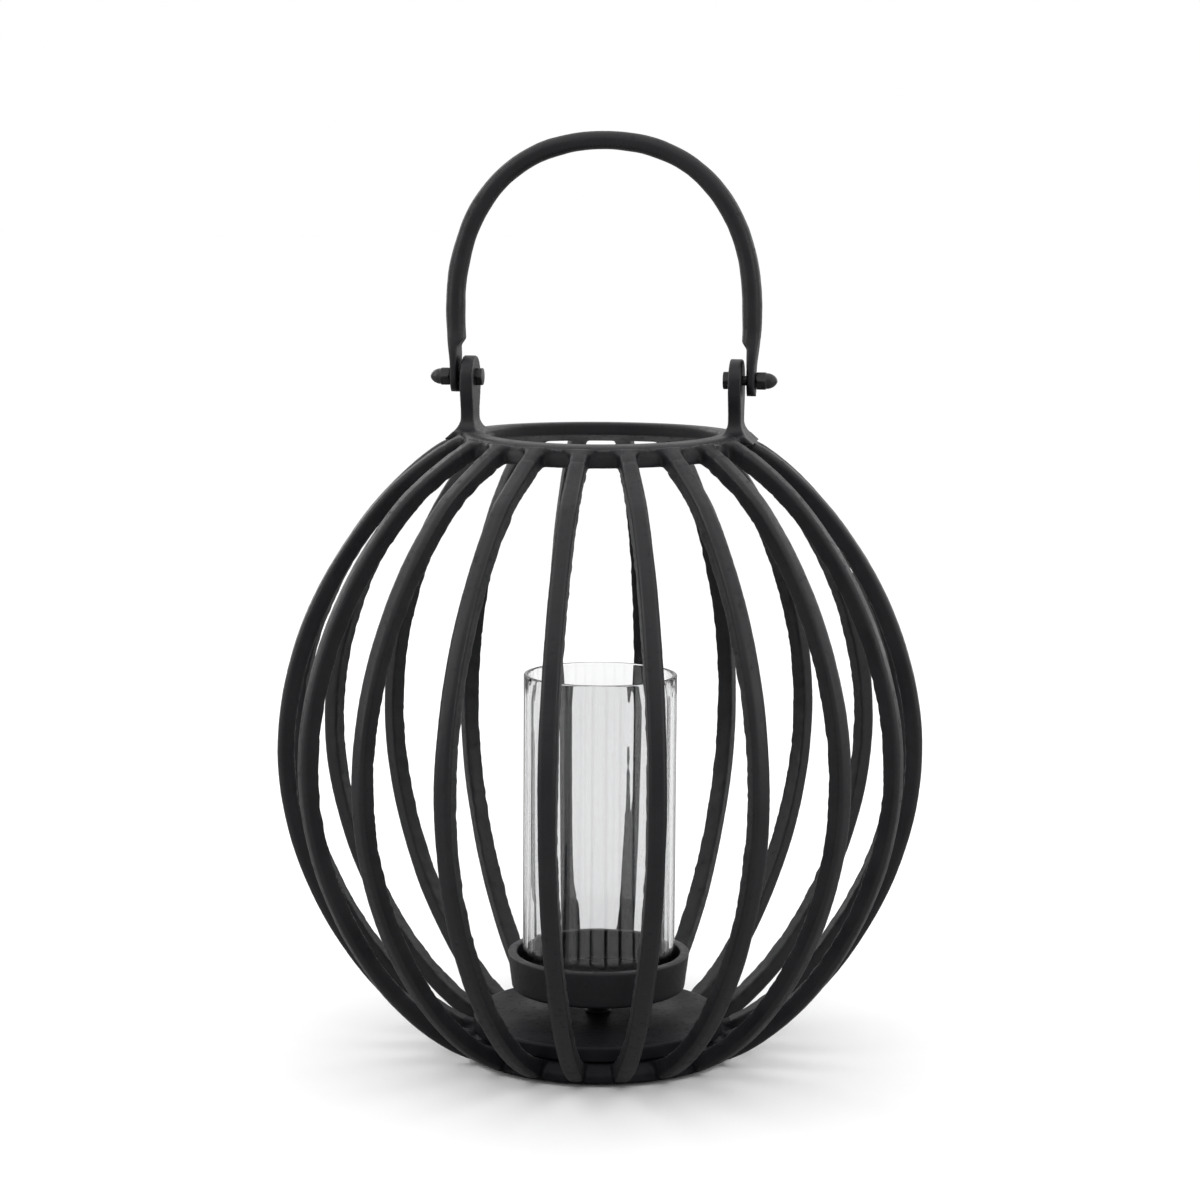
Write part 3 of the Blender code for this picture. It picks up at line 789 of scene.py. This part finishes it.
def skinned(name, parts, finish, changes):
    """Joins the parts into one mesh with the uneven skin of a sand casting."""
    shape = bmesh.new()
    for part in parts:
        shape.from_mesh(part.data)
        bpy.data.objects.remove(part)
    mesh = bpy.data.meshes.new(name + "_smooth")
    shape.to_mesh(mesh)
    shape.free()
    smooth_part = link(bpy.data.objects.new(name + "_smooth", mesh))
    cast_part = grown(name, smooth_part, skin_tree, SKIN_INPUTS, {"Finish": finish, **changes})
    bpy.data.objects.remove(smooth_part)
    return cast_part


plate_smooth = spun(
    "plate_smooth",
    softened(
        (
            (PLATE_BORE, PLATE_BOTTOM, BORE_EDGE),
            (PLATE_RADIUS, PLATE_BOTTOM, 0.0008),
            (PLATE_RADIUS - 0.0002, PLATE_TOP - PLATE_FALL, PLATE_RIM),
            (PLATE_RADIUS * 0.62, PLATE_TOP, 0.02),
            (PLATE_BORE, PLATE_TOP, BORE_EDGE),
        )
    ),
    RING_STEPS,
)
# The plate takes the darker copy of the coat, which is painted shade.
base_disc = skinned("base_disc", [plate_smooth], shaded_powder_coat, {"Waviness": 0.00025, "Wave scale": 45.0})
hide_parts("base_plate")
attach(base_disc, "cage")


# ---------------------------------------------------------------------------------------------------
# Candle cup: a shallow tapered cast cup with a flat floor and a softly rounded lip, on a short stem
# that spreads a little where it meets the plate and the cup.
CUP_BOTTOM = 0.0306
CUP_TOP = 0.0484
CUP_FLOOR_TOP = 0.0343
CUP_INNER = 0.0398
CUP_OUTER = 0.0443
CUP_UNDER = 0.0421
CUP_LIP = 0.0009
STEM_RADIUS = 0.005
STEM_SPREAD = 0.0018
STEM_BOTTOM = 0.0185
STEM_TOP = 0.0303
STEM_CURVE = 0.0015
STEM_STEPS = 64

cup_smooth = spun(
    "cup_smooth",
    softened(
        (
            (PLATE_BORE, CUP_BOTTOM, BORE_EDGE),
            (CUP_UNDER, CUP_BOTTOM, 0.0016),
            (CUP_OUTER, CUP_TOP, CUP_LIP),
            (CUP_INNER, CUP_TOP, CUP_LIP),
            (CUP_INNER - 0.0006, CUP_FLOOR_TOP, 0.0020),
            (PLATE_BORE, CUP_FLOOR_TOP, BORE_EDGE),
        )
    ),
    RING_STEPS,
    0.0016,
)
stem_smooth = spun(
    "stem_smooth",
    softened(
        (
            (PLATE_BORE, STEM_BOTTOM, BORE_EDGE),
            (STEM_RADIUS + STEM_SPREAD, STEM_BOTTOM, BORE_EDGE),
            (STEM_RADIUS, STEM_BOTTOM + STEM_SPREAD, STEM_CURVE),
            (STEM_RADIUS, STEM_TOP - STEM_SPREAD, STEM_CURVE),
            (STEM_RADIUS + STEM_SPREAD, STEM_TOP, BORE_EDGE),
            (PLATE_BORE, STEM_TOP, BORE_EDGE),
        )
    ),
    STEM_STEPS,
    0.0012,
)
cup_casting = skinned(
    "cup_casting", [cup_smooth, stem_smooth], black_powder_coat, {"Waviness": 0.00018, "Grain": 0.00005}
)
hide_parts("candle_cup", "cup_stem")
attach(cup_casting, "cage")


# ---------------------------------------------------------------------------------------------------
# Cup screw: a zinc plated steel screw with a low head in the cup's floor, down through the stem and
# the plate, drawn up by a washer and a hexagon nut underneath.
ZINC_SCREW_RADIUS = 0.0025
THREAD_PITCH = 0.0008
THREAD_DEPTH = 0.00028
SCREW_HEAD_EDGE = 0.0005
SCREW_HEAD_RIM = 0.0010
SCREW_HEAD_DEPTH = 0.0024
SCREW_NECK = 0.0002
WASHER_GAP = 0.0003
HEX_ACROSS = 0.008
HEX_STEPS = 72
HEX_CHAMFER = math.tan(math.radians(30))
HEX_FACE = 0.97


def zinc_plate():
    """Bright zinc on steel: clear blue-grey metal, a little cloudy, duller in patches."""
    material, shader, sheet = new_material("zinc_plate")
    place = sheet.add("ShaderNodeTexCoord", output="Object")
    clouds = sheet.add("ShaderNodeTexNoise", None, {"Vector": place, "Scale": 420.0, "Detail": 4.0})
    spangle = sheet.add("ShaderNodeTexVoronoi", None, {"Vector": place, "Scale": 900.0}, output="Color")
    tone = clouds.between(0.35, 0.65).blend((0.40, 0.41, 0.42, 1), (0.62, 0.62, 0.60, 1))
    feed(tone, shader, "Base Color")
    crystal = spangle.add("ShaderNodeSeparateColor", None, {"Color": spangle})
    feed(0.26 + 0.16 * clouds + 0.10 * crystal, shader, "Roughness")
    bump = sheet.add("ShaderNodeBump", None, {"Height": clouds, "Strength": 0.2, "Distance": 0.0001})
    feed(bump, shader, "Normal")
    shader.inputs["Metallic"].default_value = 1.0
    return material


def stacked(name, rings):
    """Skins rings of points, all with the same count, and closes both ends."""
    mesh = bpy.data.meshes.new(name)
    count = len(rings[0])
    faces = []
    for level in range(len(rings) - 1):
        for k in range(count):
            low, high = level * count, (level + 1) * count
            faces.append((low + k, low + (k + 1) % count, high + (k + 1) % count, high + k))
    faces.append(tuple(reversed(range(count))))
    faces.append(tuple((len(rings) - 1) * count + k for k in range(count)))
    mesh.from_pydata([point for ring in rings for point in ring], [], faces)
    face_outwards(mesh)
    return link(bpy.data.objects.new(name, mesh))


def ring_of(radius, height):
    """A circle of HEX_STEPS points, to stack on others."""
    turns = [math.tau * k / HEX_STEPS for k in range(HEX_STEPS)]
    return [Vector((radius * math.cos(turn), radius * math.sin(turn), height)) for turn in turns]


def hexagon_of(height, cap):
    """A hexagon of HEX_ACROSS with its corners cut to a circle of radius cap."""
    ring = []
    for k in range(HEX_STEPS):
        angle = math.tau * k / HEX_STEPS
        from_flat = (angle + math.pi / 6) % (math.pi / 3) - math.pi / 6
        radius = min(HEX_ACROSS / 2 / math.cos(from_flat), cap)
        ring.append(Vector((radius * math.cos(angle), radius * math.sin(angle), height)))
    return ring


def hexagon_block(bottom, top):
    """Rings of a hexagon block whose corners are turned off at both ends."""
    flat, corner = HEX_ACROSS / 2 * HEX_FACE, HEX_ACROSS / 2 / math.cos(math.pi / 6)
    caps = [flat + (corner - flat) * step / 4 for step in range(5)]
    rings = [hexagon_of(bottom + (cap - flat) * HEX_CHAMFER, cap) for cap in caps]
    return rings + [hexagon_of(top - (cap - flat) * HEX_CHAMFER, cap) for cap in reversed(caps)]


def threaded(bottom, top):
    """Rings up a threaded shank."""
    turns = max(1, round((top - bottom) / THREAD_PITCH))
    rings = []
    for turn in range(turns):
        start = bottom + (top - bottom) * turn / turns
        rings.append(ring_of(ZINC_SCREW_RADIUS - THREAD_DEPTH, start))
        rings.append(ring_of(ZINC_SCREW_RADIUS, start + THREAD_PITCH / 2))
    rings.append(ring_of(ZINC_SCREW_RADIUS - THREAD_DEPTH, top))
    return rings


screw_low, screw_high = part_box("cup_screw")
nut_low, nut_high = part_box("cup_nut")
washer_low, washer_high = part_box("cup_washer")
head_radius = screw_high.x
screw_head = [
    ring_of(head_radius * 0.9, screw_high.z),
    ring_of(head_radius, screw_high.z - SCREW_HEAD_EDGE),
    ring_of(head_radius, screw_high.z - SCREW_HEAD_RIM),
    ring_of(ZINC_SCREW_RADIUS, screw_high.z - SCREW_HEAD_DEPTH),
]
screw_shank = threaded(screw_low.z, screw_high.z - SCREW_HEAD_DEPTH - SCREW_NECK)
screw_piece = stacked("screw_piece", screw_shank + screw_head[::-1])
washer_piece = spun(
    "washer_piece",
    softened(
        (
            (ZINC_SCREW_RADIUS + WASHER_GAP, washer_low.z, 0.0001),
            (washer_high.x, washer_low.z, 0.0002),
            (washer_high.x, washer_high.z, 0.0002),
            (ZINC_SCREW_RADIUS + WASHER_GAP, washer_high.z, 0.0001),
        )
    ),
    HEX_STEPS,
)
nut_piece = stacked("nut_piece", hexagon_block(nut_low.z, nut_high.z))
cup_fastening = skinned(
    "cup_fastening", [screw_piece, washer_piece, nut_piece], zinc_plate(), {"Waviness": 0.0, "Grain": 0.0}
)
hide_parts("cup_screw", "cup_washer", "cup_nut")
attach(cup_fastening, "cage")


# ---------------------------------------------------------------------------------------------------
# Glass chimney: a straight tube of clear soda glass, fire polished at both ends, standing in the cup.
# The drawn tube's bore is not quite round, which gives it faint upright streaks.
GLASS_RADIUS = 0.037
GLASS_WALL = 0.0023
GLASS_BOTTOM = 0.0346
GLASS_TOP = 0.1851
GLASS_LIP = 0.0007
GLASS_STEPS = 240
# Each streak's count round the bore, its depth and where it starts.
GLASS_STREAKS = ((7, 0.00004, 0.4), (16, 0.00002, 1.9), (29, 0.000013, 2.6), (43, 0.00001, 4.1))


def clear_glass():
    """Clear glass with the faint grey of two walls, and the slightest haze."""
    material, shader, sheet = new_material("clear_glass")
    shader.inputs["Base Color"].default_value = (0.762, 0.764, 0.768, 1)
    shader.inputs["Transmission Weight"].default_value = 1.0
    shader.inputs["IOR"].default_value = 1.5
    place = sheet.add("ShaderNodeTexCoord", output="Object")
    smear = sheet.add("ShaderNodeTexNoise", None, {"Vector": place, "Scale": 60.0, "Detail": 3.0})
    feed(0.02 * smear.between(0.45, 0.75), shader, "Roughness")
    return material


chimney = spun(
    "chimney",
    softened(
        (
            (GLASS_RADIUS - GLASS_WALL, GLASS_BOTTOM, GLASS_LIP),
            (GLASS_RADIUS, GLASS_BOTTOM, GLASS_LIP),
            (GLASS_RADIUS, GLASS_TOP, GLASS_LIP),
            (GLASS_RADIUS - GLASS_WALL, GLASS_TOP, GLASS_LIP),
        )
    ),
    GLASS_STEPS,
    0.010,
)
for point in chimney.data.vertices:
    radius = math.hypot(point.co.x, point.co.y)
    if radius < GLASS_RADIUS - GLASS_WALL * 0.9:
        turn = math.atan2(point.co.y, point.co.x)
        streak = sum(depth * math.sin(lobes * turn + start) for lobes, depth, start in GLASS_STREAKS)
        point.co.x *= (radius + streak) / radius
        point.co.y *= (radius + streak) / radius
chimney.data.materials.append(clear_glass())
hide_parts("glass_chimney")
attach(chimney, "glass")


# ---------------------------------------------------------------------------------------------------
# Handle: a forged round bail. Each end is hammered flat from the inside, rounded off and drilled, and
# hangs on its bolt. It has the same powder coat as the castings, over faint hammer marks.
BOLT_AXIS = 0.327
ARM_OFFSET = 0.07105
ARCH_FOOT = 0.3588
CROWN_HEIGHT = 0.4388
ARCH_UP = 0.575
ARCH_ACROSS = 0.66
TAB_HALF = 0.00215
TAB_RADIUS = 0.0072
TAB_SQUARENESS = 4.0
ARM_RADIUS = 0.0047
CROWN_RADIUS = 0.0043
TAB_TIP = 0.0012
# Heights above the bolt over which the flattened end turns into the round arm.
INNER_FADE = (0.0142, 0.0188)
OUTER_FADE = (0.0040, 0.0280)
WIDTH_FADE = (0.0090, 0.0240)
SQUARE_FADE = (0.0120, 0.0260)
BOLT_HOLE = 0.0028
HANDLE_POINTS = 32
ARM_STATIONS = 44
ARCH_STATIONS = 90


def arm_section(above):
    """Inner and outer reach, half width and squareness of an arm at a height above its bolt."""
    inner = TAB_HALF + (ARM_RADIUS - TAB_HALF) * eased(above, *INNER_FADE)
    outer = TAB_HALF + (ARM_RADIUS - TAB_HALF) * eased(above, *OUTER_FADE)
    wide = TAB_RADIUS + (ARM_RADIUS - TAB_RADIUS) * eased(above, *WIDTH_FADE)
    square = TAB_SQUARENESS + (2.0 - TAB_SQUARENESS) * eased(above, *SQUARE_FADE)
    if above < 0:
        wide = math.sqrt(max(TAB_RADIUS**2 - above**2, TAB_TIP**2))
    return inner, outer, wide, square


def handle_stations():
    """Half of the handle: place and heading of its centre line in X and Z, and its section."""
    stations = []
    for k in range(ARM_STATIONS):
        share = k / ARM_STATIONS
        above = -TAB_RADIUS * 0.995 + (ARCH_FOOT - BOLT_AXIS + TAB_RADIUS) * share
        if above < 0:
            above = -TAB_RADIUS * math.sin(math.pi / 2 * min(1.0, -above / TAB_RADIUS))
        stations.append((Vector((ARM_OFFSET, BOLT_AXIS + above)), Vector((0, 1)), arm_section(above)))
    curve = (
        Vector((ARM_OFFSET, ARCH_FOOT)),
        Vector((ARM_OFFSET, ARCH_FOOT + ARCH_UP * (CROWN_HEIGHT - ARCH_FOOT))),
        Vector((ARM_OFFSET * ARCH_ACROSS, CROWN_HEIGHT)),
        Vector((0, CROWN_HEIGHT)),
    )
    for k in range(ARCH_STATIONS + 1):
        t = k / ARCH_STATIONS
        u = 1 - t
        weights = (u * u * u, 3 * u * u * t, 3 * u * t * t, t * t * t)
        place = sum((point * weight for point, weight in zip(curve, weights)), Vector((0, 0)))
        steps = (3 * u * u, 6 * u * t, 3 * t * t)
        heading = sum(((curve[j + 1] - curve[j]) * steps[j] for j in range(3)), Vector((0, 0))).normalized()
        radius = ARM_RADIUS + (CROWN_RADIUS - ARM_RADIUS) * t
        stations.append((place, heading, (radius, radius, radius, 2.0)))
    return stations


def handle_ring(place, heading, section):
    """Points round the handle's section at one station, square to its heading."""
    inner, outer, wide, square = section
    outward = Vector((heading.y, -heading.x))
    ring = []
    for k in range(HANDLE_POINTS):
        angle = math.tau * (k + 0.5) / HANDLE_POINTS
        across, along = math.cos(angle), math.sin(angle)
        reach = outer if across > 0 else inner
        thick = math.copysign(reach * abs(across) ** (2 / square), across)
        broad = math.copysign(wide * abs(along) ** (2 / square), along)
        ring.append(Vector((place.x + outward.x * thick, broad, place.y + outward.y * thick)))
    return ring


half_handle = handle_stations()
mirrored = [
    (Vector((-place.x, place.y)), Vector((heading.x, -heading.y)), section)
    for place, heading, section in reversed(half_handle[:-1])
]
bail_smooth = stacked("bail_smooth", [handle_ring(*station) for station in half_handle + mirrored])
drill_reach = ARM_OFFSET + ARM_RADIUS * 2
drill = stacked("drill", [ring_of(BOLT_HOLE, -drill_reach), ring_of(BOLT_HOLE, drill_reach)])
drill.data.transform(Matrix.Translation((0, 0, BOLT_AXIS)) @ Matrix.Rotation(math.pi / 2, 4, "Y"))
bore = bail_smooth.modifiers.new("bore", "BOOLEAN")
bore.operation = "DIFFERENCE"
bore.solver = "EXACT"
bore.object = drill
graph = bpy.context.evaluated_depsgraph_get()
drilled = bpy.data.meshes.new_from_object(bail_smooth.evaluated_get(graph))
bail_smooth.modifiers.remove(bore)
bail_smooth.data = drilled
bpy.data.objects.remove(drill)
bail = skinned("bail", [bail_smooth], black_powder_coat, {"Waviness": 0.0004, "Wave scale": 70.0})
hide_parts("handle")
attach(bail, "handle")


# ---------------------------------------------------------------------------------------------------
# Handle bolts: an M5 hexagon bolt through each lug, its head inside the cage's mouth, with a domed
# acorn nut outside the handle. Blackened steel, a little smoother and shinier than the castings.
HEAD_HEIGHT = 0.0035
ACORN_HEX = 0.0045
ACORN_HEIGHT = 0.0098
DOME_STEPS = 12
DOME_SHARE = 0.94
DOME_ROUNDNESS = 1.1
DOME_TIP = 0.0002
SHANK_OVERLAP = 0.0002


def blackened_steel():
    """Black oxide and oil on steel: smooth and dark brown-black, a little cloudy."""
    material, shader, sheet = new_material("blackened_steel")
    place = sheet.add("ShaderNodeTexCoord", output="Object")
    clouds = sheet.add("ShaderNodeTexNoise", None, {"Vector": place, "Scale": 260.0, "Detail": 4.0})
    speck = sheet.add("ShaderNodeTexNoise", None, {"Vector": place, "Scale": 1500.0, "Detail": 2.0})
    tone = clouds.between(0.4, 0.7).blend((0.0040, 0.0040, 0.0048, 1), (0.0110, 0.0105, 0.0105, 1))
    feed(tone, shader, "Base Color")
    feed(0.34 + 0.20 * clouds.between(0.35, 0.7), shader, "Roughness")
    bump = sheet.add(
        "ShaderNodeBump", None, {"Height": clouds + speck * 0.3, "Strength": 0.25, "Distance": 0.0002}
    )
    feed(bump, shader, "Normal")
    return material


def outwards(piece, side):
    """Turns a piece stacked up Z so that it stacks outwards along X on the bolts' axis."""
    piece.data.transform(
        Matrix.Translation((0, 0, BOLT_AXIS)) @ Matrix.Rotation(side * math.pi / 2, 4, "Y")
    )
    face_outwards(piece.data)
    return piece


black_steel = blackened_steel()
for side, hand in ((1, "right"), (-1, "left")):
    bolt_low, bolt_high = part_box(f"bolt_{hand}")
    acorn_low, acorn_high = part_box(f"acorn_nut_{hand}")
    head_start = min(abs(bolt_low.x), abs(bolt_high.x))
    shank_end = max(abs(bolt_low.x), abs(bolt_high.x))
    nut_start = min(abs(acorn_low.x), abs(acorn_high.x))
    head = stacked("head", hexagon_block(head_start, head_start + HEAD_HEIGHT))
    shank = stacked("shank", threaded(head_start + HEAD_HEIGHT - SHANK_OVERLAP, shank_end))
    dome_base = nut_start + ACORN_HEX
    dome_radius = HEX_ACROSS / 2 * DOME_SHARE
    acorn_rings = hexagon_block(nut_start, dome_base)
    for step in range(DOME_STEPS):
        angle = math.pi / 2 * step / DOME_STEPS
        height = dome_base + (ACORN_HEIGHT - ACORN_HEX) * math.sin(angle)
        acorn_rings.append(ring_of(dome_radius * math.cos(angle) ** DOME_ROUNDNESS, height))
    acorn_rings.append(ring_of(DOME_TIP, nut_start + ACORN_HEIGHT))
    acorn = stacked("acorn", acorn_rings)
    hardware = skinned(
        f"handle_bolt_{hand}",
        [outwards(piece, side) for piece in (head, shank, acorn)],
        black_steel,
        {"Waviness": 0.0, "Grain": 0.0},
    )
    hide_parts(f"bolt_{hand}", f"acorn_nut_{hand}")
    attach(hardware, "cage")


# ---------------------------------------------------------------------------------------------------
# The outer line has served its turn.
bpy.data.objects.remove(outer_line)
